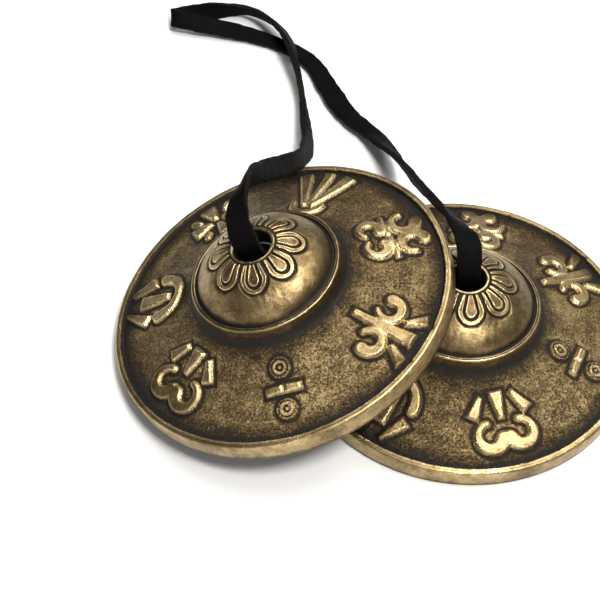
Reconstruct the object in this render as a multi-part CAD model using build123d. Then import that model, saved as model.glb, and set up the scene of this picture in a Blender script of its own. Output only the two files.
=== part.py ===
"""Hand cymbals: two cast brass bells of low cone shape on one leather strap.

Millimetres, +Z up.  The origin is at the bottom centre of the box round the two
cymbals.  The back cymbal lies flat.  The front one lies with its left edge on the
same surface and its right edge over the crown of the back one.
"""
from build123d import *
import math
import os

# The casting, the same for both cymbals
RADIUS = 32.5               # outer radius of the rim
EDGE = 0.3                  # small chamfer at the foot and top of the rim
LIP_TOP = 3.9               # height of the raised lip round the edge
LIP_WIDTH = 1.2
FIELD_R, FIELD_Z = 31.0, 3.3        # outer end of the conical field
FIELD_TOP_R, FIELD_TOP_Z = 16.2, 7.9
FOOT_R, FOOT_Z = 14.6, 9.3          # foot of the boss
BEAD_R, BEAD_Z = 13.6, 11.4         # bead round the boss
BEAD_SIZE = 0.45
DOME_R, DOME_Z = 12.6, 12.0         # where the dome meets the bead
CROWN_R, CROWN_Z = 9.2, 15.7        # outer end of the petals
TOTAL_HEIGHT = 18.4
SEAT_WIDTH = 2.4            # the flat ring that a cymbal stands on
FRONT_BORE_R = 3.5
BACK_BORE_R = 3.2
UNDER_CROWN_R, UNDER_CROWN_Z = 6.0, 15.0    # the underside, 3 mm below the top
UNDER_DOME_R, UNDER_DOME_Z = 9.3, 12.2
UNDER_FOOT_R, UNDER_FOOT_Z = 14.0, 5.6
UNDER_RIM_Z = 0.9
RELIEF = 0.7                # how far the ornaments stand up from the field
GROOVE = 0.35               # depth and about half the width of the engraved lines

# Where the two cymbals lie
HALF_LENGTH = 49.0
BACK_X = 16.5
FRONT_TILT = 17.3           # degrees, right edge up

# Seven ornaments round each field, the first at this angle from +X
ORNAMENTS = 7
ORNAMENT_R = 23.6
FRONT_PHASE = -85.0
BACK_PHASE = -25.0
PETALS = 8
PETAL_PHASE = -90.0
PETAL_END_R = 6.7           # centre of each petal's round end
PETAL_WIDTH = 2.6

# The strap: a leather strip, stood in for by a round tube of the same section area
STRAP_R = 1.3
FLEX_HEIGHT = 20.6          # where the strap bends above each cymbal's rim plane
FLEX_GAP = 0.8              # left free on each side of that bend
KNOT_TOP = 14.7             # just under the crown
KNOT_R = 4.4
KNOT_HEIGHT = 6.0
TAIL_LENGTH = 3.5           # the strap's cut end below the knot

TILT = math.radians(FRONT_TILT)
FRONT_X = -HALF_LENGTH + RADIUS * math.cos(TILT) + (LIP_TOP - EDGE) * math.sin(TILT)
FRONT_PLANE = Plane(
    origin=(FRONT_X, 0, (RADIUS - EDGE) * math.sin(TILT)),
    x_dir=(math.cos(TILT), 0, math.sin(TILT)),
    z_dir=(-math.sin(TILT), 0, math.cos(TILT)),
)
BACK_PLANE = Plane(origin=(BACK_X, 0, 0))

# The strap's route between the flex points, from over the front bore round the loop
# on the table to over the back bore
STRAP_ROUTE = [
    (-24.6, 0.2, 33.4),
    (-24.4, 2.4, 36.2),
    (-23.8, 6.2, 36.2),
    (-22.7, 11.0, 33.4),
    (-21.0, 16.2, 28.8),
    (-18.2, 22.2, 24.0),
    (-15.4, 28.2, 19.8),
    (-13.3, 35.6, 14.6),
    (-12.4, 44.2, 8.2),
    (-12.3, 51.8, 3.4),
    (-12.7, 58.4, 2.2),
    (-13.3, 64.8, 2.2),
    (-13.9, 70.8, 2.2),
    (-14.8, 76.2, 3.2),
    (-16.1, 81.6, 4.6),
    (-18.2, 87.4, 4.4),
    (-21.4, 92.8, 3.0),
    (-25.8, 97.8, 2.2),
    (-31.6, 99.4, 2.2),
    (-37.6, 98.8, 2.2),
    (-42.0, 96.6, 2.2),
    (-43.6, 93.4, 2.1),
    (-41.6, 90.6, 1.9),
    (-37.4, 90.0, 1.6),
    (-31.4, 89.8, 1.5),
    (-25.4, 88.2, 1.4),
    (-20.0, 85.7, 1.4),
    (-14.6, 82.2, 1.4),
    (-10.0, 78.0, 1.5),
    (-7.9, 72.0, 1.4),
    (-5.9, 66.2, 1.5),
    (-2.6, 60.8, 1.5),
    (1.8, 55.2, 2.0),
    (4.8, 48.8, 3.8),
    (6.8, 41.6, 7.0),
    (8.6, 33.8, 10.6),
    (10.3, 26.4, 14.2),
    (12.1, 19.2, 17.8),
    (13.6, 12.8, 21.2),
    (14.9, 7.8, 23.8),
    (15.9, 4.2, 24.8),
    (16.5, 1.4, 24.0),
]


def field_line():
    """The field's top line in section: a hollow foot under the boss, then straight."""
    return Spline(
        (FOOT_R, FOOT_Z),
        (FIELD_TOP_R, FIELD_TOP_Z),
        (FIELD_R, FIELD_Z),
        tangents=((0.3, -1), (1, -0.24)),
    )


def crown_line(bore_r):
    """The dome's top line in section, from the bore to the bead."""
    return Spline(
        (bore_r, TOTAL_HEIGHT),
        (CROWN_R, CROWN_Z),
        (DOME_R, DOME_Z),
        tangents=((1, -0.12), (0.4, -1)),
    )


def turned(lines):
    """A solid of revolution about Z from a closed outline given as radius and height."""
    section = Plane.XZ * make_face(Curve() + lines)
    return revolve(section, Axis.Z)


def casting(bore_r):
    """One plain cymbal."""
    return turned([
        crown_line(bore_r),
        Line((DOME_R, DOME_Z), (BEAD_R - BEAD_SIZE, BEAD_Z)),
        ThreePointArc(
            (BEAD_R - BEAD_SIZE, BEAD_Z),
            (BEAD_R, BEAD_Z + BEAD_SIZE),
            (BEAD_R + BEAD_SIZE, BEAD_Z),
        ),
        Line((BEAD_R + BEAD_SIZE, BEAD_Z), (FOOT_R, FOOT_Z)),
        field_line(),
        Polyline(
            (FIELD_R, FIELD_Z),
            (RADIUS - LIP_WIDTH, LIP_TOP),
            (RADIUS - EDGE, LIP_TOP),
            (RADIUS, LIP_TOP - EDGE),
            (RADIUS, EDGE),
            (RADIUS - EDGE, 0),
            (RADIUS - SEAT_WIDTH, 0),
            (RADIUS - SEAT_WIDTH, UNDER_RIM_Z),
            (UNDER_FOOT_R, UNDER_FOOT_Z),
        ),
        Spline(
            (UNDER_FOOT_R, UNDER_FOOT_Z),
            (UNDER_DOME_R, UNDER_DOME_Z),
            (UNDER_CROWN_R, UNDER_CROWN_Z),
            tangents=((-1, 0.7), (-1, 0.1)),
        ),
        Polyline(
            (UNDER_CROWN_R, UNDER_CROWN_Z),
            (bore_r, UNDER_CROWN_Z),
            (bore_r, TOTAL_HEIGHT),
        ),
    ])


def skin(line, down, up):
    """A shell of revolution from down below a top line to up above it."""
    low = Pos(0, -down) * line
    high = Pos(0, up) * line
    return turned([low, high, Line(low @ 0, high @ 0), Line(low @ 1, high @ 1)])


def bar(x1, y1, x2, y2, width):
    """A straight stroke with round ends."""
    middle = ((x1 + x2) / 2, (y1 + y2) / 2)
    length = math.hypot(x2 - x1, y2 - y1)
    turn = math.degrees(math.atan2(y2 - y1, x2 - x1))
    return Pos(*middle) * Rot(0, 0, turn) * SlotCenterToCenter(length, width)


def blade(x1, y1, x2, y2, start, end):
    """A straight stroke with flat ends, whose width goes from start to end."""
    length = math.hypot(x2 - x1, y2 - y1)
    turn = math.degrees(math.atan2(y2 - y1, x2 - x1))
    corners = Polyline(
        (0, -start / 2),
        (length, -end / 2),
        (length, end / 2),
        (0, start / 2),
        close=True,
    )
    return Pos(x1, y1) * Rot(0, 0, turn) * make_face(corners)


def hook(x, y, radius, start, sweep, width):
    """A round stroke about a centre, from a start angle, with round ends."""
    return SlotArc(CenterArc((x, y), radius, start, sweep), width)


def dot(x, y, radius):
    return Pos(x, y) * Circle(radius)


# The seven ornaments as strokes.  X is outwards from the boss and Y is round the field,
# from the middle of the ornament.  Each half given here is mirrored.
ORNAMENT_STROKES = [
    # a bar between two ringed dots
    [
        dot(-4.6, 0, 1.9),
        blade(-0.95, 0, -0.95, 3.3, 1.8, 1.6),
        dot(2.55, 0, 1.9),
    ],
    # a bud between two scrolls
    [
        blade(-5.8, 0, 6.0, 0, 1.5, 3.2),
        hook(-0.6, 3.5, 2.0, -150, 255, 2.0),
        blade(2.7, 2.3, 6.4, 4.9, 1.3, 2.8),
    ],
    # two pairs of volutes with a bar between them
    [
        hook(2.9, 2.7, 2.2, 95, 255, 2.1),
        hook(-3.6, 2.3, 1.8, -20, 250, 1.9),
        blade(-0.7, 0, -0.7, 5.5, 1.5, 1.2),
    ],
    # three leaves from one stem
    [
        blade(-4.8, 0, 6.6, 0, 1.4, 2.6),
        blade(-5.0, 0.6, 5.6, 4.8, 1.2, 3.2),
        hook(-4.4, 0, 2.9, 90, 90, 1.7),
    ],
    # a four-leaved flower with buds between
    [
        blade(1.0, 0, 5.9, 0, 1.3, 3.9),
        blade(-1.0, 0, -5.9, 0, 1.3, 3.4),
        blade(0, 1.0, 0, 5.5, 1.3, 3.8),
        bar(2.8, 2.8, 3.8, 3.9, 1.5),
        bar(-2.8, 2.8, -3.8, 3.7, 1.4),
    ],
    # a bud between two sepals
    [
        hook(-0.8, 0, 4.3, 95, 85, 2.1),
        blade(-3.0, 0, 3.8, 0, 1.8, 3.6),
        blade(1.0, 4.6, 6.4, 2.2, 2.8, 1.3),
    ],
    # a pair of fronds with leaves under them
    [
        hook(1.8, 2.8, 2.3, -70, 250, 2.1),
        blade(-5.8, 0, -0.8, 0, 3.0, 1.2),
        blade(-5.4, 2.7, -1.8, 5.3, 1.3, 2.6),
    ],
]


def ornaments(phase):
    """The raised ornaments of one field, as flat-topped solids a little into it."""
    shell = skin(field_line(), 0.5, RELIEF)
    strokes = Sketch()
    for number, group in enumerate(ORNAMENT_STROKES):
        turn = phase + number * 360 / ORNAMENTS
        place = Rot(0, 0, turn) * Pos(ORNAMENT_R, 0)
        for stroke in group:
            strokes += place * stroke
            strokes += place * mirror(stroke, about=Plane.XZ)
    return shell & extrude(strokes, TOTAL_HEIGHT)


def petal_grooves(bore_r):
    """The engraved lines of the petals, as a solid to cut from the crown."""
    shell = skin(crown_line(bore_r), GROOVE, 0.5)
    lines = Sketch()
    for number in range(PETALS):
        place = Rot(0, 0, PETAL_PHASE + number * 360 / PETALS)
        lines += place * hook(PETAL_END_R, 0, PETAL_WIDTH, -75, 150, GROOVE)
        lines += place * bar(PETAL_END_R - 1.2, 0, PETAL_END_R + 0.9, 0, 2 * GROOVE)
        between = Rot(0, 0, PETAL_PHASE + (number + 0.5) * 360 / PETALS)
        lines += between * bar(bore_r + 0.9, 0, PETAL_END_R + 0.2, 0, GROOVE)
    return shell & extrude(lines, 2 * TOTAL_HEIGHT)


def cymbal(bore_r, phase):
    return casting(bore_r) + ornaments(phase) - petal_grooves(bore_r)


def knot():
    """A knot drawn tight below the crown, with the strap's cut end under it."""
    lump = Cylinder(KNOT_R, KNOT_HEIGHT)
    lump = fillet(lump.edges().filter_by(GeomType.CIRCLE), 0.45 * KNOT_HEIGHT)
    tail = Pos(0, 0, -(KNOT_HEIGHT + TAIL_LENGTH) / 2) * Cylinder(STRAP_R, TAIL_LENGTH)
    return Pos(0, 0, KNOT_TOP - KNOT_HEIGHT / 2) * (lump + tail)


def strap_end():
    """The strap inside a cymbal, from the knot through the bore to the flex point."""
    length = FLEX_HEIGHT - FLEX_GAP - KNOT_TOP
    return Pos(0, 0, KNOT_TOP + length / 2) * Cylinder(STRAP_R, length)


def in_part(plane, height):
    """A point on a cymbal's own axis, as a vector in the part's frame."""
    return plane.from_local_coords(Vector(0, 0, height))


def strap():
    """The strap's free length as one round tube on runs joined by arcs."""
    start = in_part(FRONT_PLANE, FLEX_HEIGHT + FLEX_GAP)
    end = in_part(BACK_PLANE, FLEX_HEIGHT + FLEX_GAP)
    points = [start] + [Vector(*point) for point in STRAP_ROUTE] + [end]
    runs = [b - a for a, b in zip(points, points[1:])]
    radii = []
    for before, after in zip(runs, runs[1:]):
        half_turn = math.radians(before.get_angle(after)) / 2
        shorter = min(before.length, after.length)
        radii.append(0.45 * shorter / math.tan(half_turn))
    path = FilletPolyline(*points, radius=radii)
    tube = sweep(Plane(origin=start, z_dir=runs[0]) * Circle(STRAP_R), path=path)
    print("strap runs", [round(run.length, 1) for run in runs])
    print("strap radii", [round(radius, 1) for radius in radii])
    whole = math.pi * STRAP_R**2 * path.length
    print(f"strap length {path.length:.1f}, volume {tube.volume:.1f} of {whole:.1f}")
    return tube


os.makedirs("parts", exist_ok=True)
nodes = {
    "cymbal_front": FRONT_PLANE * cymbal(FRONT_BORE_R, FRONT_PHASE),
    "cymbal_back": BACK_PLANE * cymbal(BACK_BORE_R, BACK_PHASE),
    "strap": strap(),
    "strap_end_front": FRONT_PLANE * strap_end(),
    "strap_end_back": BACK_PLANE * strap_end(),
    "knot_front": FRONT_PLANE * knot(),
    "knot_back": BACK_PLANE * knot(),
}
for name, shape in nodes.items():
    export_step(shape, f"parts/{name}.step")
print("front flex point", in_part(FRONT_PLANE, FLEX_HEIGHT))
print("front bore top", in_part(FRONT_PLANE, TOTAL_HEIGHT), "axis", FRONT_PLANE.z_dir)
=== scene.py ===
import math

import bpy
import numpy as np
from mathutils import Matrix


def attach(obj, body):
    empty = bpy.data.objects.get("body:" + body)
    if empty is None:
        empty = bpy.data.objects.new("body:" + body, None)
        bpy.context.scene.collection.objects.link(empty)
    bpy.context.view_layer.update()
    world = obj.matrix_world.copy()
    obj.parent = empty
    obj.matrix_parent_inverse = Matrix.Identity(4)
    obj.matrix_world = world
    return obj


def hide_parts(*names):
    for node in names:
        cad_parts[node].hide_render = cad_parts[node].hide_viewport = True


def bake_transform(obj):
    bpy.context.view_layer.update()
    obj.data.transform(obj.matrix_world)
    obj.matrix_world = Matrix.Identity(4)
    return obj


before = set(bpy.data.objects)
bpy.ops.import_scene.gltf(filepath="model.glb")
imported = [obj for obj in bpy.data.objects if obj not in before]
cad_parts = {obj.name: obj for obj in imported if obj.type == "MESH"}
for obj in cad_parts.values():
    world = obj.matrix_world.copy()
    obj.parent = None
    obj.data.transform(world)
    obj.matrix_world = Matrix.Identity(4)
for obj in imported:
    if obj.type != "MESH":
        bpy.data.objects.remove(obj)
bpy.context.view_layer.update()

# ---------------------------------------------------------------------------------------
# The camera: a short telephoto lens on a tripod in front of the table, looking down at
# about 51 degrees, with the strap's loop at the top left of its view.
# ---------------------------------------------------------------------------------------
camera_data = bpy.data.cameras.new("camera")
camera_data.lens = 73.07
camera_data.sensor_width = 36
camera_data.shift_x = -0.0022
camera_data.shift_y = -0.0030
camera_data.clip_start = 0.01
camera = bpy.data.objects.new("camera", camera_data)
camera.location = (-0.01371, -0.14201, 0.18673)
LOOKS_DOWN = 50.84
camera.rotation_euler = (math.radians(90 - LOOKS_DOWN), 0, 0)
bpy.context.scene.collection.objects.link(camera)
bpy.context.scene.camera = camera

# ---------------------------------------------------------------------------------------
# The strap: one flat thong of black dyed leather, cut by hand, about 4 mm wide and
# 1.3 mm thick.  It goes from a knot under one cymbal, up its bore, round a loop on the
# table and down the other bore to the second knot.
# ---------------------------------------------------------------------------------------
THONG_WIDTH = 0.0042
THONG_THICKNESS = 0.0013
SECTION_POINTS = 48
CORNER_POWER = 0.4
EDGE_WANDER = 0.10
THICKNESS_WANDER = 0.12
CUPPING = 0.06
OVERLAP = 3
DRAWN_IN = 0.03
LOWEST = 0.00002

# Heights above a cymbal's rim plane, along its bore: the top of the bore, where the three
# lengths of the strap are joined.
FRONT_JOIN = 0.0252
BACK_JOIN = 0.0239

# Where the two cymbals stand: centre of the rim plane, and the axes out along +X, along
# +Y and up the bore.
TILT = math.radians(17.3)
FRONT_CENTRE = np.array([-0.01690, 0, 0.0095755])
FRONT_AXES = np.array([
    [math.cos(TILT), 0, math.sin(TILT)],
    [0, 1, 0],
    [-math.sin(TILT), 0, math.cos(TILT)],
])
BACK_CENTRE = np.array([0.0165, 0, 0])
BACK_AXES = np.eye(3)

# The strap's points in millimetres, each with the way its width lies there and how wide it
# is beside THONG_WIDTH.  The first three are inside the front cymbal and the last three
# inside the back one.
THONG = np.array([
    [-20.9, -0.6, 21.0, -0.95, 0.00, -0.30, 1.00],
    [-21.6, -0.6, 23.4, -0.95, 0.00, -0.30, 1.05],
    [-22.7, -0.6, 25.6, -0.95, 0.00, -0.30, 1.10],
    [-23.4, -0.5, 27.6, -0.96, 0.05, -0.30, 1.16],
    [-24.0, -0.4, 30.2, -0.97, 0.05, -0.28, 1.14],
    [-24.7, 0.2, 33.2, -0.93, -0.05, -0.36, 1.00],
    [-24.5, 2.4, 35.8, -0.78, -0.25, -0.58, 0.84],
    [-23.8, 6.2, 35.9, -0.52, -0.40, -0.75, 0.80],
    [-22.7, 11.0, 33.4, -0.15, -0.55, -0.82, 0.90],
    [-21.0, 16.2, 29.0, 0.25, -0.62, -0.74, 1.00],
    [-18.2, 22.2, 24.2, 0.38, -0.62, -0.68, 1.00],
    [-15.4, 28.2, 19.6, 0.15, -0.58, -0.80, 0.94],
    [-13.3, 35.6, 13.9, 0.22, -0.52, -0.83, 0.90],
    [-12.4, 44.2, 7.9, 0.50, -0.40, -0.77, 0.92],
    [-12.3, 51.8, 3.6, 0.50, -0.30, -0.80, 0.95],
    [-12.7, 58.4, 2.4, 0.45, 0.00, -0.90, 0.95],
    [-13.3, 64.8, 2.2, 0.20, 0.00, -0.98, 0.95],
    [-13.9, 70.8, 2.4, 0.18, 0.00, -0.98, 0.95],
    [-14.8, 76.2, 3.2, 0.30, 0.00, -0.95, 0.96],
    [-16.1, 81.8, 4.6, 0.55, 0.00, -0.83, 0.98],
    [-18.2, 87.8, 4.4, 0.60, 0.30, -0.75, 0.96],
    [-21.6, 93.8, 3.1, 0.30, 0.45, -0.80, 0.92],
    [-26.2, 98.0, 2.3, 0.10, 0.50, -0.85, 0.90],
    [-31.9, 98.6, 2.2, 0.00, 0.10, -0.99, 0.95],
    [-37.2, 97.6, 2.1, 0.00, -0.45, -0.90, 0.98],
    [-41.4, 96.8, 1.8, 0.00, -0.72, -0.69, 1.00],
    [-44.4, 96.1, 1.8, 0.02, -0.78, -0.62, 1.00],
    [-44.4, 94.1, 3.1, 0.02, -0.80, -0.60, 1.00],
    [-41.6, 93.2, 3.0, 0.00, -0.84, -0.54, 1.00],
    [-37.8, 92.5, 2.5, 0.00, -0.88, -0.48, 0.98],
    [-33.0, 91.5, 2.0, 0.00, -0.93, -0.36, 0.95],
    [-27.0, 90.1, 1.6, -0.10, -0.96, -0.26, 0.92],
    [-20.4, 87.4, 1.3, -0.30, -0.94, -0.16, 0.84],
    [-14.9, 84.0, 1.2, -0.55, -0.82, -0.10, 0.80],
    [-10.6, 78.9, 1.3, -0.82, -0.56, -0.10, 0.94],
    [-8.2, 72.6, 1.4, -0.93, -0.36, -0.10, 1.08],
    [-5.9, 66.2, 1.5, -0.93, -0.36, -0.05, 1.10],
    [-2.6, 60.6, 1.6, -0.83, -0.55, 0.10, 1.06],
    [1.8, 55.2, 2.0, -0.80, -0.55, 0.20, 1.04],
    [4.8, 48.8, 3.8, -0.70, -0.45, 0.50, 0.96],
    [6.8, 41.6, 7.0, -0.50, -0.10, 0.80, 0.90],
    [8.6, 33.8, 10.6, -0.39, 0.33, 0.86, 0.86],
    [10.3, 26.4, 14.2, -0.45, 0.25, 0.85, 0.88],
    [12.1, 19.2, 17.8, -0.50, 0.15, 0.85, 0.92],
    [13.6, 12.8, 21.2, -0.60, -0.05, 0.80, 0.98],
    [14.9, 7.8, 23.8, -0.75, -0.30, 0.60, 1.04],
    [15.9, 4.2, 24.8, -0.90, -0.30, 0.30, 1.06],
    [16.4, 1.4, 24.0, -1.00, -0.20, 0.00, 1.06],
    [16.4, 0.2, 21.0, -1.00, -0.10, 0.00, 1.02],
    [16.5, 0.0, 18.0, -1.00, 0.00, 0.00, 1.00],
    [16.5, 0.0, 15.6, -1.00, 0.00, 0.00, 1.00],
    [16.5, 0.0, 13.0, -1.00, 0.00, 0.00, 1.00],
])


def drawn_line(points, steps=14):
    """The smooth line that has these points as its control points: a quadratic NURBS
    spline that starts and ends on its outer points, read back as an array."""
    curve = bpy.data.curves.new("thong_line", "CURVE")
    curve.dimensions = "3D"
    spline = curve.splines.new("NURBS")
    spline.points.add(len(points) - 1)
    spline.points.foreach_set("co", np.c_[points, np.ones(len(points))].ravel())
    spline.order_u = 3
    spline.use_endpoint_u = True
    spline.resolution_u = steps
    line = bpy.data.objects.new("thong_line", curve)
    mesh = bpy.data.meshes.new_from_object(line)
    places = np.empty(len(mesh.vertices) * 3)
    mesh.vertices.foreach_get("co", places)
    bpy.data.objects.remove(line)
    bpy.data.curves.remove(curve)
    bpy.data.meshes.remove(mesh)
    return places.reshape(-1, 3)


def along(line):
    """How far each point of a line is from its start, measured along the line."""
    return np.r_[0, np.cumsum(np.linalg.norm(np.diff(line, axis=0), axis=1))]


def unit(rows):
    """Each row divided by its own length."""
    return rows / np.linalg.norm(rows, axis=-1, keepdims=True)


def wander(distance, seed, wave):
    """A gentle irregular curve between about -1 and 1: six sines, each shorter and lower
    than the last, with their starts and lengths drawn from the seed."""
    draw = np.random.default_rng(seed)
    total = np.zeros_like(distance)
    for step in range(6):
        start = draw.uniform(0, 2 * np.pi)
        length = wave * draw.uniform(0.8, 1.2) / 1.55**step
        total += np.sin(2 * np.pi * distance / length + start) / 1.22**step
    return total / 3


def surface(name, grid, ring=False, unwrapped=None):
    """A mesh object on a grid of points, each row of which is a closed loop.  On a ring the
    last row joins the first; otherwise a fan round its middle closes each end.  Unwrapped
    holds how far along each row is and the girth, in metres, for a UV map at true size."""
    rows, columns = grid.shape[:2]
    index = np.arange(rows * columns).reshape(rows, columns)
    beside = np.roll(index, -1, axis=1)
    places = grid.reshape(-1, 3)
    if ring:
        above, across = np.roll(index, -1, axis=0), np.roll(beside, -1, axis=0)
        faces = np.stack([index, above, across, beside], -1).reshape(-1, 4).tolist()
    else:
        quads = np.stack([index[:-1], beside[:-1], beside[1:], index[1:]], -1)
        middle = rows * columns
        places = np.r_[places, grid[[0, -1]].mean(axis=1)]
        first = np.c_[beside[0], index[0], np.full(columns, middle)]
        last = np.c_[index[-1], beside[-1], np.full(columns, middle + 1)]
        faces = quads.reshape(-1, 4).tolist() + first.tolist() + last.tolist()
    mesh = bpy.data.meshes.new(name)
    mesh.from_pydata(places.tolist(), [], faces)
    mesh.polygons.foreach_set("use_smooth", [len(face) == 4 for face in faces])
    if unwrapped is not None:
        row = np.repeat(unwrapped[0][:, None], columns, axis=1)
        turn = np.arange(columns + 1) * unwrapped[1] / columns
        low = np.stack([row[:-1], np.repeat(turn[None, :-1], rows - 1, axis=0)], -1)
        side = np.stack([row[:-1], np.repeat(turn[None, 1:], rows - 1, axis=0)], -1)
        far = np.stack([row[1:], side[..., 1]], -1)
        high = np.stack([row[1:], low[..., 1]], -1)
        flat = np.stack([low, side, far, high], 2).reshape(-1, 2)
        ends = np.r_[
            np.tile([row[0, 0], 0.0], (3 * columns, 1)),
            np.tile([row[-1, 0], 0.0], (3 * columns, 1)),
        ]
        mesh.uv_layers.new(name="cut").data.foreach_set("uv", np.r_[flat, ends].ravel())
    piece = bpy.data.objects.new(name, mesh)
    bpy.context.scene.collection.objects.link(piece)
    return piece


def mark(piece, name, values):
    """Keeps one number for each point of a piece, for its material to read."""
    attribute = piece.data.attributes.new(name, "FLOAT", "POINT")
    padded = np.zeros(len(piece.data.vertices))
    padded[: values.size] = values.ravel()
    attribute.data.foreach_set("value", padded)


class Wire:
    """A socket of a material.  A sum or product of wires adds the Math nodes for it."""

    def __init__(self, tree, socket=None):
        self.tree = tree
        self.socket = socket

    def node(self, kind, settings={}, sockets={}, out=0):
        """One more node: its settings are made first, then its sockets are set or linked."""
        made = self.tree.nodes.new("ShaderNode" + kind)
        for name, value in settings.items():
            if name == "stops":
                ramp = made.color_ramp.elements
                ramp.remove(ramp[1])
                ramp[0].position, ramp[0].color = value[0][0], (*value[0][1], 1)
                for place, colour in value[1:]:
                    ramp.new(place).color = (*colour, 1)
            else:
                setattr(made, name, value)
        for name, value in sockets.items():
            if isinstance(value, Wire):
                self.tree.links.new(value.socket, made.inputs[name])
            else:
                made.inputs[name].default_value = value
        return Wire(self.tree, made.outputs[out])

    def reckon(self, operation, *values):
        return self.node("Math", {"operation": operation}, dict(enumerate(values)))

    def __add__(self, other):
        return self.reckon("ADD", self, other)

    def __sub__(self, other):
        return self.reckon("SUBTRACT", self, other)

    def __rsub__(self, other):
        return self.reckon("SUBTRACT", other, self)

    def __mul__(self, other):
        return self.reckon("MULTIPLY", self, other)

    __radd__ = __add__
    __rmul__ = __mul__


def finish(name, constants):
    """A new material on one Principled shader with these sockets set.  Gives the material,
    the shader's sockets and a wire to add nodes with."""
    material = bpy.data.materials.new(name)
    material.use_nodes = True
    tree = material.node_tree
    shader = tree.nodes["Principled BSDF"]
    for socket, value in constants.items():
        shader.inputs[socket].default_value = value
    return material, shader.inputs, Wire(tree)


def black_leather():
    """Dyed leather: a fine pebbled grain and long soft creases on the faces, and a dull
    fibrous cut edge that shows a little of the brown inside."""
    material, shader, wire = finish("black_leather", {"Specular IOR Level": 0.05})
    cut = wire.node("UVMap", {"uv_map": "cut"})
    edge = wire.node("Attribute", {"attribute_name": "cut_edge"}, out=2)
    pebbles = wire.node("TexVoronoi", {"feature": "SMOOTH_F1"}, {"Vector": cut, "Scale": 1700.0})
    stretched = wire.node("Mapping", {}, {"Vector": cut, "Scale": (0.16, 1.0, 1.0)})
    creases = wire.node("TexNoise", {}, {"Vector": stretched, "Scale": 900.0, "Detail": 4.0})
    patches = wire.node("TexNoise", {}, {"Vector": cut, "Scale": 130.0, "Detail": 3.0})
    fibres = wire.node("TexNoise", {}, {"Vector": cut, "Scale": 5200.0, "Detail": 3.0})
    tone = patches * 0.55 + creases * 0.3 + edge * fibres * 0.7
    colour = wire.node("ValToRGB", {"stops": [
        (0.25, (0.0016, 0.0014, 0.0018)),
        (0.50, (0.0034, 0.0029, 0.0035)),
        (0.75, (0.0080, 0.0070, 0.0072)),
        (1.00, (0.024, 0.018, 0.015)),
    ]}, {"Fac": tone})
    relief = pebbles * (1 - edge) * 0.25 + creases * 0.8 + fibres * edge * 0.6
    bump = wire.node("Bump", {}, {"Height": relief, "Strength": 0.55, "Distance": 0.00016})
    roughness = 0.56 + patches * 0.22 + edge * 0.20
    wire.tree.links.new(colour.socket, shader["Base Color"])
    wire.tree.links.new(roughness.socket, shader["Roughness"])
    wire.tree.links.new(bump.socket, shader["Normal"])
    return material


leather = black_leather()


def laid(line, lie, width):
    """A line with the directions of the thong on it, one row for each point: its length so
    far, its place, the way across the thong, square to the line, the way through it, and
    its width."""
    forward = unit(np.gradient(line, axis=0))
    across = unit(lie - (lie * forward).sum(axis=1)[:, None] * forward)
    return np.c_[along(line), line, across, np.cross(forward, across), width]


def thong(name, course, thickness=THONG_THICKNESS, head=0, tail=0):
    """A length of thong: a flat section with round edges, a superellipse of power 5, is
    carried along its course.  The edges wander, as a hand-held knife leaves them, and
    nothing goes below the table.  The first head and last tail rows draw in a little, to
    go inside the next length."""
    away, line, across, through = course[:, 0], course[:, 1:4], course[:, 4:7], course[:, 7:10]
    row = np.arange(len(course))
    beyond = np.clip(head - row, 0, None) + np.clip(row - (len(course) - 1 - tail), 0, None)
    width = course[:, 10:] * (1 - DRAWN_IN * beyond[:, None])
    thickness = thickness * (1 - DRAWN_IN * beyond[:, None])
    turn = np.linspace(0, 2 * np.pi, SECTION_POINTS, endpoint=False)
    wide = np.sign(np.cos(turn)) * np.abs(np.cos(turn)) ** CORNER_POWER
    thick = np.sign(np.sin(turn)) * np.abs(np.sin(turn)) ** CORNER_POWER
    left = 1 + EDGE_WANDER * wander(away, 3, 0.022)
    right = 1 + EDGE_WANDER * wander(away, 8, 0.019)
    reach = np.where(wide[None, :] < 0, left[:, None], right[:, None])
    body = 1 + THICKNESS_WANDER * wander(away, 5, 0.017)
    x = 0.5 * width * wide[None, :] * reach
    y = 0.5 * thickness * thick[None, :] * body[:, None]
    y = y + CUPPING * width * (wide[None, :] ** 2 - 0.3) * wander(away, 11, 0.034)[:, None]
    grid = line[:, None] + x[..., None] * across[:, None] + y[..., None] * through[:, None]
    grid[..., 2] = np.maximum(grid[..., 2], LOWEST)
    piece = surface(name, grid, unwrapped=(away, 2 * (THONG_WIDTH + THONG_THICKNESS)))
    mark(piece, "cut_edge", np.clip((np.abs(wide) - 0.9) / 0.08, 0, 1) + 0 * x)
    piece.data.materials.append(leather)
    return piece


thong_line = drawn_line(THONG[:, :3] / 1000)
share = np.linspace(0, len(THONG) - 2, len(thong_line))
places = np.clip(np.arange(len(THONG)) - 0.5, 0, len(THONG) - 2)
thong_lie = unit(np.stack([np.interp(share, places, THONG[:, axis]) for axis in (3, 4, 5)], -1))
thong_course = laid(thong_line, thong_lie, THONG_WIDTH * np.interp(share, places, THONG[:, 6]))
up_front_bore = (thong_line - FRONT_CENTRE) @ FRONT_AXES[2]
leaves_front = np.argmax(up_front_bore > FRONT_JOIN)
enters_back = len(thong_line) - 1 - np.argmax(thong_line[::-1, 2] > BACK_JOIN)

strap = thong(
    "strap_loop",
    thong_course[leaves_front - OVERLAP : enters_back + 1 + OVERLAP],
    head=OVERLAP,
    tail=OVERLAP,
)
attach(strap, "strap")
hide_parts("strap")

front_end = thong("strap_in_front_bore", thong_course[: leaves_front + 1 + OVERLAP], tail=OVERLAP)
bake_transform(front_end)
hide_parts("strap_end_front")

back_end = thong("strap_in_back_bore", thong_course[enters_back - OVERLAP :], head=OVERLAP)
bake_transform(back_end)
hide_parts("strap_end_back")

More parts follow.
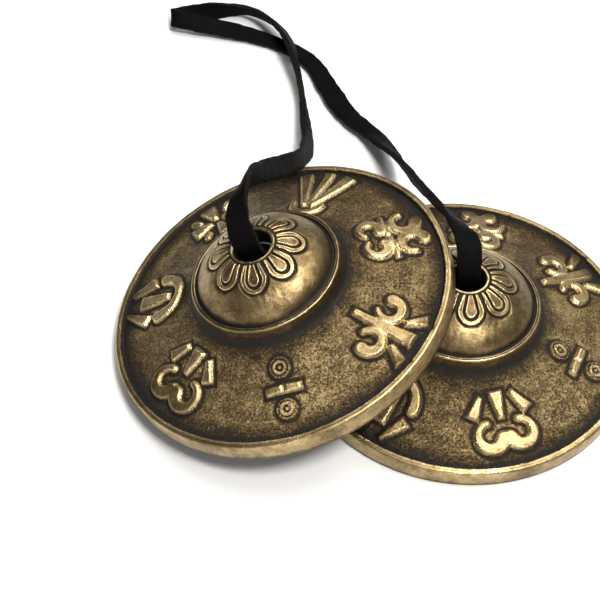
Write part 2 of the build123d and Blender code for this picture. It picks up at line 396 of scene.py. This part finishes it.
# ---------------------------------------------------------------------------------------
# The knots: the strap's own end tied in an overhand knot under each crown and pulled
# tight, too big to go up the bore, with the cut end left hanging inside the cymbal.
# ---------------------------------------------------------------------------------------
KNOT_HEIGHT = 0.0121
KNOT_REACH = 0.00128
KNOT_RISE = 0.0017
KNOT_TURN = -0.52
KNOT_OPENING = 0.35
KNOTTED_WIDTH = 0.0033
KNOTTED_THICKNESS = 0.0019


def tied_line():
    """An overhand knot's line on its own axis: a trefoil, (2 + cos 3a) out at an angle 2a
    and sin 3a up, opened at the top and drawn out upwards and downwards.  KNOT_TURN turns
    it about the bore."""
    a = np.linspace(KNOT_OPENING, 2 * np.pi - KNOT_OPENING, 19)
    out = (2 + np.cos(3 * a)) * KNOT_REACH
    turn = 2 * a + KNOT_TURN
    trefoil = np.stack([out * np.cos(turn), out * np.sin(turn), KNOT_RISE * np.sin(3 * a)], -1)
    top = np.array([[0, 0, 0.0034], [0.0006, 0.0003, 0.0026]])
    tail = np.array([
        [0.0011, -0.0010, -0.0026],
        [0.0009, -0.0008, -0.0047],
        [0.0012, -0.0002, -0.0062],
    ])
    return drawn_line(np.r_[top, trefoil, tail], 10)


def knot(name, centre, axes, body, node):
    """The strap's end tied on one cymbal's bore.  The strip lies square to the way out
    from the knot's middle."""
    line = tied_line() + [0, 0, KNOT_HEIGHT]
    lie = np.cross(unit(np.gradient(line, axis=0)), unit(line - [0, 0, KNOT_HEIGHT] + 1e-6))
    width = np.full(len(line), KNOTTED_WIDTH)
    course = laid(centre + line @ axes, unit(lie) @ axes, width)
    piece = thong(name, course, KNOTTED_THICKNESS)
    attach(piece, body)
    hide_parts(node)
    return piece


front_knot = knot("front_knot", FRONT_CENTRE, FRONT_AXES, "front_knot", "knot_front")
back_knot = knot("back_knot", BACK_CENTRE, BACK_AXES, "back_knot", "knot_back")

# ---------------------------------------------------------------------------------------
# The cymbals: two bells of cast brass, heavy and slightly uneven, from one pattern.  The
# crown has engraved petals, and the field has seven raised ornaments.  They were blacked
# with a patina and rubbed bright again where a hand or cloth reaches.
# ---------------------------------------------------------------------------------------
RELIEF = 0.7
ORNAMENT_OUT = 23.6
RINGED_DOTS = (-4.6, 2.55)
DOT_RADIUS = 1.95
DOT_RING = 1.42
DOT_EYE = 0.5
PETALS = 8
PETALS_END = 10.2
GROOVE = 0.34
BEAD = 13.62
COLUMNS = 520
SWELL = 0.05
RIPPLE = 0.02


def bar(x, y, x1, y1, x2, y2, start, end):
    """How far points are outside a straight stroke whose width goes from start to end."""
    length = math.hypot(x2 - x1, y2 - y1)
    share = np.clip(((x - x1) * (x2 - x1) + (y - y1) * (y2 - y1)) / length**2, 0, 1)
    off = np.hypot(x - x1 - share * (x2 - x1), y - y1 - share * (y2 - y1))
    return off - (start + share * (end - start)) / 2


def hook(x, y, middle_x, middle_y, radius, begin, sweep, start, end):
    """How far points are outside a round stroke: it begins at an angle, sweeps through
    another, in degrees, and its width goes from start to end."""
    turn = np.degrees(np.arctan2(y - middle_y, x - middle_x)) - begin
    turn = np.mod(turn + (360 - sweep) / 2, 360) - (360 - sweep) / 2
    share = np.clip(turn / sweep, 0, 1)
    angle = np.radians(begin + share * sweep)
    off = np.hypot(x - middle_x - radius * np.cos(angle), y - middle_y - radius * np.sin(angle))
    return off - (start + share * (end - start)) / 2


def blade(x, y, x1, y1, x2, y2, start, end):
    """How far points are outside a straight stroke with flat ends, in its own axes."""
    length = math.hypot(x2 - x1, y2 - y1)
    on = ((x - x1) * (x2 - x1) + (y - y1) * (y2 - y1)) / length
    off = ((y - y1) * (x2 - x1) - (x - x1) * (y2 - y1)) / length
    half = (start + np.clip(on / length, 0, 1) * (end - start)) / 2
    return np.maximum(np.abs(off) - half, np.maximum(-on, on - length))


# The ornaments' strokes in millimetres: x goes outwards and y round the field from each
# one's middle, and the half given here is mirrored.  The first is the bar between two
# ringed dots, and the others are a bud between scrolls, two pairs of volutes, three
# leaves, a four-leaved flower, a bud between sepals and a pair of fronds.
ORNAMENTS = [
    [
        (blade, -0.95, 0.0, -0.95, 3.3, 1.8, 1.6),
    ],
    [
        (blade, -5.8, 0.0, 6.0, 0.0, 1.5, 3.2),
        (hook, -0.6, 3.5, 2.0, -150, 255, 1.4, 2.6),
        (blade, 2.7, 2.3, 6.4, 4.9, 1.3, 2.8),
    ],
    [
        (hook, 2.9, 2.7, 2.2, 95, 255, 1.4, 2.9),
        (hook, -3.6, 2.3, 1.8, -20, 250, 2.5, 1.3),
        (blade, -0.7, 0.0, -0.7, 5.5, 1.5, 1.2),
    ],
    [
        (blade, -4.8, 0.0, 6.6, 0.0, 1.4, 2.6),
        (blade, -5.0, 0.6, 5.6, 4.8, 1.2, 3.2),
        (hook, -4.4, 0.0, 2.9, 90, 90, 1.6, 1.8),
    ],
    [
        (blade, 1.0, 0.0, 5.9, 0.0, 1.3, 3.9),
        (blade, -1.0, 0.0, -5.9, 0.0, 1.3, 3.4),
        (blade, 0.0, 1.0, 0.0, 5.5, 1.3, 3.8),
        (bar, 2.8, 2.8, 3.8, 3.9, 1.2, 1.8),
        (bar, -2.8, 2.8, -3.8, 3.7, 1.2, 1.6),
    ],
    [
        (hook, -0.8, 0.0, 4.3, 95, 85, 2.6, 1.6),
        (blade, -3.0, 0.0, 3.8, 0.0, 1.8, 3.6),
        (blade, 1.0, 4.6, 6.4, 2.2, 2.8, 1.3),
    ],
    [
        (hook, 1.8, 2.8, 2.3, -70, 250, 2.9, 1.4),
        (blade, -5.8, 0.0, -0.8, 0.0, 3.0, 1.2),
        (blade, -5.4, 2.7, -1.8, 5.3, 1.3, 2.6),
    ],
]


def bend(start, end, leave, arrive, count):
    """Points of a cubic curve from start to end in section, with the directions it leaves
    and arrives in.  The end itself is left to the next stretch."""
    t = np.linspace(0, 1, count, endpoint=False)[:, None]
    start, end = np.array(start, float), np.array(end, float)
    chord = np.linalg.norm(end - start)
    leave, arrive = unit(np.array(leave, float)) * chord, unit(np.array(arrive, float)) * chord
    return (
        (2 * t**3 - 3 * t**2 + 1) * start
        + (t**3 - 2 * t**2 + t) * leave
        + (3 * t**2 - 2 * t**3) * end
        + (t**3 - t**2) * arrive
    )


def straight(start, end, count):
    """Evenly spaced points from start towards end."""
    t = np.linspace(0, 1, count, endpoint=False)[:, None]
    return (1 - t) * np.array(start, float) + t * np.array(end, float)


def outline(bore):
    """The casting in section as radius and height, from the top of the bore out over the
    crown, bead, field and lip, and back underneath.  Also the count of points on top."""
    over = [
        bend((bore, 18.0), (bore + 0.4, 18.42), (0, 1), (1, 0), 4),
        bend((bore + 0.4, 18.42), (9.2, 15.7), (1, -0.05), (0.8, -0.6), 44),
        bend((9.2, 15.7), (12.55, 12.05), (0.8, -0.6), (0.35, -1), 12),
        bend((12.55, 12.05), (13.15, 11.5), (0.3, -1), (0.3, 1), 5),
        bend((13.15, 11.5), (13.6, 11.85), (0.1, 1), (1, 0), 5),
        bend((13.6, 11.85), (14.08, 11.4), (1, 0), (0.05, -1), 6),
        bend((14.08, 11.4), (14.6, 9.3), (0.05, -1), (0.35, -1), 6),
        bend((14.6, 9.3), (16.2, 7.9), (0.35, -1), (1, -0.42), 7),
        bend((16.2, 7.9), (30.9, 3.25), (1, -0.42), (1, -0.2), 62),
        bend((30.9, 3.25), (31.35, 3.85), (1, 0.1), (1, 0.7), 4),
        bend((31.35, 3.85), (32.1, 3.88), (1, 0.4), (1, -0.3), 4),
        bend((32.1, 3.88), (32.5, 3.4), (1, -0.3), (0.05, -1), 4),
        straight((32.5, 3.4), (32.48, 0.4), 5),
    ]
    under = [
        bend((32.48, 0.4), (32.1, 0), (0, -1), (-1, 0), 3),
        straight((32.1, 0), (30.1, 0), 2),
        straight((30.1, 0), (30.1, 0.9), 2),
        straight((30.1, 0.9), (14.0, 5.6), 4),
        bend((14.0, 5.6), (9.3, 12.2), (-1, 0.7), (-0.65, 0.75), 4),
        bend((9.3, 12.2), (6.0, 15.0), (-0.65, 0.75), (-1, 0.1), 3),
        straight((6.0, 15.0), (bore, 15.0), 2),
        straight((bore, 15.0), (bore, 18.0), 2),
    ]
    return np.concatenate(over + under), sum(len(part) for part in over)


def soft_step(value):
    """0 below 0, 1 above 1 and a smooth S between."""
    value = np.clip(value, 0, 1)
    return value * value * (3 - 2 * value)


def hill(value, middle, width):
    """A round bump of height 1 about a middle."""
    return np.exp(-(((value - middle) / width) ** 2))


def rolling(x, y, seed, wave):
    """A smooth uneven field over the casting: fourteen plane waves in drawn directions."""
    draw = np.random.default_rng(seed)
    total = np.zeros_like(x)
    for _ in range(14):
        heading, start = draw.uniform(0, 2 * np.pi, 2)
        length = wave * draw.uniform(0.5, 1.6)
        total += np.sin(2 * np.pi * (x * math.cos(heading) + y * math.sin(heading)) / length + start)
    return total / 4


def worked(x, y, bore, ornament_turn):
    """What stands up from or is cut into the top at each point, in millimetres, and three
    marks from 0 to 1: the patina mark (how much patina stays; cymbal() adds painted shade
    to it on the lip's outer wall), worn (how bright it is rubbed) and smooth (how little
    sand shows)."""
    out, turn = np.hypot(x, y), np.degrees(np.arctan2(y, x))
    height = np.zeros_like(x)
    hollow = np.zeros_like(x)
    worn = np.zeros_like(x)

    # petals: each a tongue with a border, cut by grooves that run in to the bore
    pitch = 360 / PETALS
    fold = np.radians(np.mod(turn + 90 + pitch / 2, pitch) - pitch / 2)
    px, py = out * np.cos(fold), out * np.sin(fold)
    border = bar(px, py, 3.4, 0, 6.7, 0, 2.4, 5.2)
    tongue = bar(px, py, 3.8, 0, 7.0, 0, 0.9, 2.5)
    side = np.hypot(np.clip(out - 6.8, 0, None), out * (math.pi / PETALS - np.abs(fold)))
    cut = np.minimum(np.abs(border), side)
    within = soft_step((PETALS_END - out) / 0.4)
    within = within * soft_step((out - bore - 0.75) / 0.35)
    lines = np.clip(hill(cut, 0, 0.17) + hill(tongue, 0, 0.19), 0, 1) * within
    height -= GROOVE * lines
    hollow += 1.1 * lines
    edges = (
        hill(cut, 0.34, 0.15) * (border < 0)
        + hill(tongue, -0.32, 0.15)
        + 0.6 * hill(tongue, 0.36, 0.14)
    )
    worn += edges * within
    height += 0.10 * edges * within

    # the crown round the petals, rubbed by the thumb
    worn += 0.30 * hill(out, PETALS_END, 1.3)

    # a thin ridge round the bore, and a line outside it
    height -= 0.16 * hill(out, bore + 0.82, 0.15)
    hollow += hill(out, bore + 0.84, 0.17)
    worn += 1.1 * hill(out, bore + 0.38, 0.22)

    # the double bead: a fine line cut along its top
    height -= 0.16 * hill(out, BEAD, 0.10)
    hollow += 0.75 * hill(out, BEAD, 0.10) + 0.95 * hill(out, 12.92, 0.34)
    worn += 0.95 * hill(out, 13.38, 0.12) + 0.85 * hill(out, 13.88, 0.13)

    # the foot of the boss and the channel inside the lip
    hollow += 0.75 * hill(out, 14.75, 0.55) + 0.30 * hill(out, 16.0, 1.2)
    hollow += 0.95 * hill(out, 30.75, 0.55) + 0.35 * hill(out, 29.6, 1.3)
    worn += 0.9 * hill(out, 31.55, 0.25) + 0.7 * hill(out, 32.35, 0.3)

    # the raised ornaments
    outside = np.full_like(x, 9.0)
    for number, strokes in enumerate(ORNAMENTS):
        angle = math.radians(ornament_turn + number * 360 / len(ORNAMENTS))
        ox = x * math.cos(angle) + y * math.sin(angle) - ORNAMENT_OUT
        oy = y * math.cos(angle) - x * math.sin(angle)
        for stroke, *sizes in strokes:
            outside = np.minimum(outside, stroke(ox, np.abs(oy), *sizes))
        if number == 0:
            for middle in RINGED_DOTS:
                disc = np.hypot(ox - middle, oy)
                coin = soft_step((DOT_RADIUS - disc) / 0.3) - 0.55 * hill(disc, DOT_RING, 0.14)
                coin -= 0.75 * hill(disc, DOT_EYE, 0.17)
                height += RELIEF * np.clip(coin, 0, 1)
                for ring, width in ((DOT_RING, 0.16), (DOT_EYE, 0.18), (DOT_RADIUS + 0.2, 0.3)):
                    hollow += 0.9 * hill(disc, ring, width)
                for ring, width in ((0.95, 0.3), (1.68, 0.12), (0.1, 0.2)):
                    worn += 0.9 * hill(disc, ring, width)
    height += 1.15 * RELIEF * soft_step((0.2 - outside) / 0.66) + 0.05 * hill(outside, -0.46, 0.2)
    height -= 0.12 * hill(outside, 0.34, 0.22)
    hollow += soft_step((0.8 - outside) / 0.6) * soft_step((outside + 0.05) / 0.26)
    worn += 0.95 * hill(outside, -0.26, 0.25) + 0.30 * soft_step((-0.3 - outside) / 0.3)
    smooth = soft_step((0.1 - outside) / 0.2)
    return height, np.clip(hollow, 0, 1), np.clip(worn, 0, 1), smooth


def cymbal(name, bore, ornament_turn, centre, axes, seed):
    """The outline turned through a full circle, with what is worked on the top pushed out
    along the surface.  The points are (radius cos a, radius sin a, height)."""
    line, top = outline(bore)
    run = np.gradient(np.r_[line[-3:], line, line[:3]], axis=0)[3:-3]
    out_r, out_z = unit(np.stack([-run[:, 1], run[:, 0]], -1)).T
    turn = np.linspace(0, 2 * np.pi, COLUMNS, endpoint=False)
    radius = np.repeat(line[:, :1], len(turn), axis=1)
    height = np.repeat(line[:, 1:], len(turn), axis=1)
    x, y = radius * np.cos(turn), radius * np.sin(turn)
    raised, hollow, worn, smooth = worked(x, y, bore, ornament_turn)
    raised += SWELL * rolling(x, y, seed, 9.0) + RIPPLE * rolling(x, y, seed + 1, 2.2)
    on_top = (np.arange(len(line)) < top)[:, None]
    raised, hollow, worn = raised * on_top, hollow * on_top, worn * on_top
    edge = soft_step((radius - 31.2) / 0.6)
    raised = raised * (1 - 0.6 * edge)
    radius = radius + out_r[:, None] * raised
    height = height + out_z[:, None] * raised
    local = np.stack([radius * np.cos(turn), radius * np.sin(turn), height], -1)
    piece = surface(name, centre + local / 1000 @ axes, ring=True)
    # Painted shade: the lip's outer wall is darkened by adding 0.22 to the patina mark, to dim the table's
    # bright reflection on that side.
    shaded_lip_wall = (line[:, 0] > 32.3) & (np.arange(len(line)) < top)
    mark(piece, "hollow", hollow + 0.22 * shaded_lip_wall[:, None])
    mark(piece, "worn", worn)
    sandy = on_top * soft_step((np.hypot(x, y) - 14.2) / 1.2) * (1 - edge) * (1 - 0.8 * smooth)
    mark(piece, "sandy", sandy)
    mark(piece, "underside", 1.0 - on_top + 0 * x)
    place = piece.data.attributes.new("cast_place", "FLOAT_VECTOR", "POINT")
    place.data.foreach_set("vector", local.astype(np.float32).ravel())
    return piece


def old_brass():
    """Cast brass under a black patina: pale gold on the rubbed edges, brown on the open
    field, black in every recess, with sand pits from the mould and fine scratches.  The lip's
    outer wall is darkened further with painted shade."""
    material, shader, wire = finish("old_brass", {})
    place = wire.node("Attribute", {"attribute_name": "cast_place"}, out=1)
    hollow = wire.node("Attribute", {"attribute_name": "hollow"}, out=2)
    worn = wire.node("Attribute", {"attribute_name": "worn"}, out=2)
    sandy = wire.node("Attribute", {"attribute_name": "sandy"}, out=2)
    underside = wire.node("Attribute", {"attribute_name": "underside"}, out=2)
    clouds, blots, sand, grit = (
        wire.node("TexNoise", {}, {
            "Vector": place, "Scale": scale, "Detail": detail, "Roughness": rough,
        })
        for scale, detail, rough in (
            (0.11, 5.0, 0.6),
            (0.6, 5.0, 0.65),
            (2.3, 4.0, 0.7),
            (5.0, 2.0, 0.6),
        )
    )
    pits = wire.node("TexVoronoi", {"feature": "F1"}, {"Vector": place, "Scale": 2.0, "Randomness": 1.0})
    pitted = wire.node("MapRange", {"interpolation_type": "SMOOTHSTEP"}, {
        "Value": pits, "From Min": 0.05, "From Max": 0.38, "To Min": 1.0, "To Max": 0.0,
    }) * sandy
    scratch_way = wire.node("Mapping", {}, {"Vector": place, "Rotation": (0, 0, 0.6), "Scale": (1, 9, 1)})
    scratches = wire.node("TexNoise", {}, {"Vector": scratch_way, "Scale": 1.2, "Detail": 3.0})
    bright = (
        0.50
        + (clouds - 0.5) * 0.75
        + (blots - 0.5) * 0.45
        + (sand - 0.5) * (0.30 + sandy * 0.80)
        + (grit - 0.5) * sandy * 0.40
        + worn * 0.42
        # The patina mark also carries the painted shade on the lip's outer wall.
        - hollow * 0.62
        - pitted * 0.26
        - underside * 0.12
    )
    colour = wire.node("ValToRGB", {"stops": [
        (0.00, (0.007, 0.005, 0.004)),
        (0.25, (0.033, 0.022, 0.012)),
        (0.50, (0.172, 0.120, 0.056)),
        (0.72, (0.450, 0.335, 0.163)),
        (1.00, (0.850, 0.680, 0.365)),
    ]}, {"Fac": bright})
    metal = wire.node("MapRange", {}, {
        "Value": bright, "From Min": 0.05, "From Max": 0.40, "To Min": 0.35, "To Max": 1.0,
    })
    scratched = bright + (scratches - 0.5) * 0.25
    roughness = wire.node("MapRange", {}, {
        "Value": scratched, "From Min": 0.1, "From Max": 0.95, "To Min": 0.56, "To Max": 0.20,
    })
    relief = sand * (0.3 + sandy * 0.9) + grit * sandy * 0.35 + blots * 0.4 - pitted * 0.7 + scratches * 0.14
    bump = wire.node("Bump", {}, {"Height": relief, "Strength": 0.9, "Distance": 0.00026})
    wire.tree.links.new(colour.socket, shader["Base Color"])
    wire.tree.links.new(metal.socket, shader["Metallic"])
    wire.tree.links.new(roughness.socket, shader["Roughness"])
    wire.tree.links.new(bump.socket, shader["Normal"])
    return material


brass = old_brass()
for name, bore, ornament_turn, centre, axes, seed, body, node in (
    ("front_casting", 3.5, -85, FRONT_CENTRE, FRONT_AXES, 21, "front_cymbal", "cymbal_front"),
    ("back_casting", 3.2, -25, BACK_CENTRE, BACK_AXES, 34, "back_cymbal", "cymbal_back"),
):
    casting = cymbal(name, bore, ornament_turn, centre, axes, seed)
    casting.data.materials.append(brass)
    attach(casting, body)
    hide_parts(node)

# ---------------------------------------------------------------------------------------
# The table and the light: a plain white sheet under everything, a large soft lamp
# overhead, smaller ones at the right and in front, and dim surroundings to reflect.
# ---------------------------------------------------------------------------------------
sheet_mesh = bpy.data.meshes.new("table_sheet")
HALF = 3.0
corners = [(-HALF, -HALF, 0), (HALF, -HALF, 0), (HALF, HALF, 0), (-HALF, HALF, 0)]
sheet_mesh.from_pydata(corners, [], [(0, 1, 2, 3)])
sheet = bpy.data.objects.new("table_sheet", sheet_mesh)
bpy.context.scene.collection.objects.link(sheet)
paper = finish("white_paper", {
    "Base Color": (0.93, 0.93, 0.93, 1),
    "Roughness": 0.9,
    "Specular IOR Level": 0.1,
})
sheet_mesh.materials.append(paper[0])


def lamp(name, place, aim, size, power, colour):
    """A square soft lamp at a place, turned to face a point."""
    data = bpy.data.lights.new(name, "AREA")
    data.size = size
    data.energy = power
    data.color = colour
    shown = bpy.data.objects.new(name, data)
    shown.location = place
    way = np.array(aim) - np.array(place)
    shown.rotation_euler = (math.acos(-way[2] / np.linalg.norm(way)), 0, math.atan2(-way[0], way[1]))
    bpy.context.scene.collection.objects.link(shown)


lamp("overhead_lamp", (0.18, 0.28, 0.72), (0, 0.02, 0), 0.72, 5.8, (1.0, 0.985, 0.96))
lamp("right_lamp", (0.19, -0.24, 0.68), (0, 0, 0.01), 0.16, 4.4, (1.0, 0.98, 0.94))
lamp("front_lamp", (-0.10, -0.80, 0.34), (0, 0, 0), 0.60, 1.6, (1.0, 0.98, 0.95))

room = bpy.data.worlds.new("room")
room.use_nodes = True
room.node_tree.nodes["Background"].inputs["Color"].default_value = (0.55, 0.55, 0.56, 1)
room.node_tree.nodes["Background"].inputs["Strength"].default_value = 0.24
bpy.context.scene.world = room
bpy.context.scene.view_settings.view_transform = "Standard"
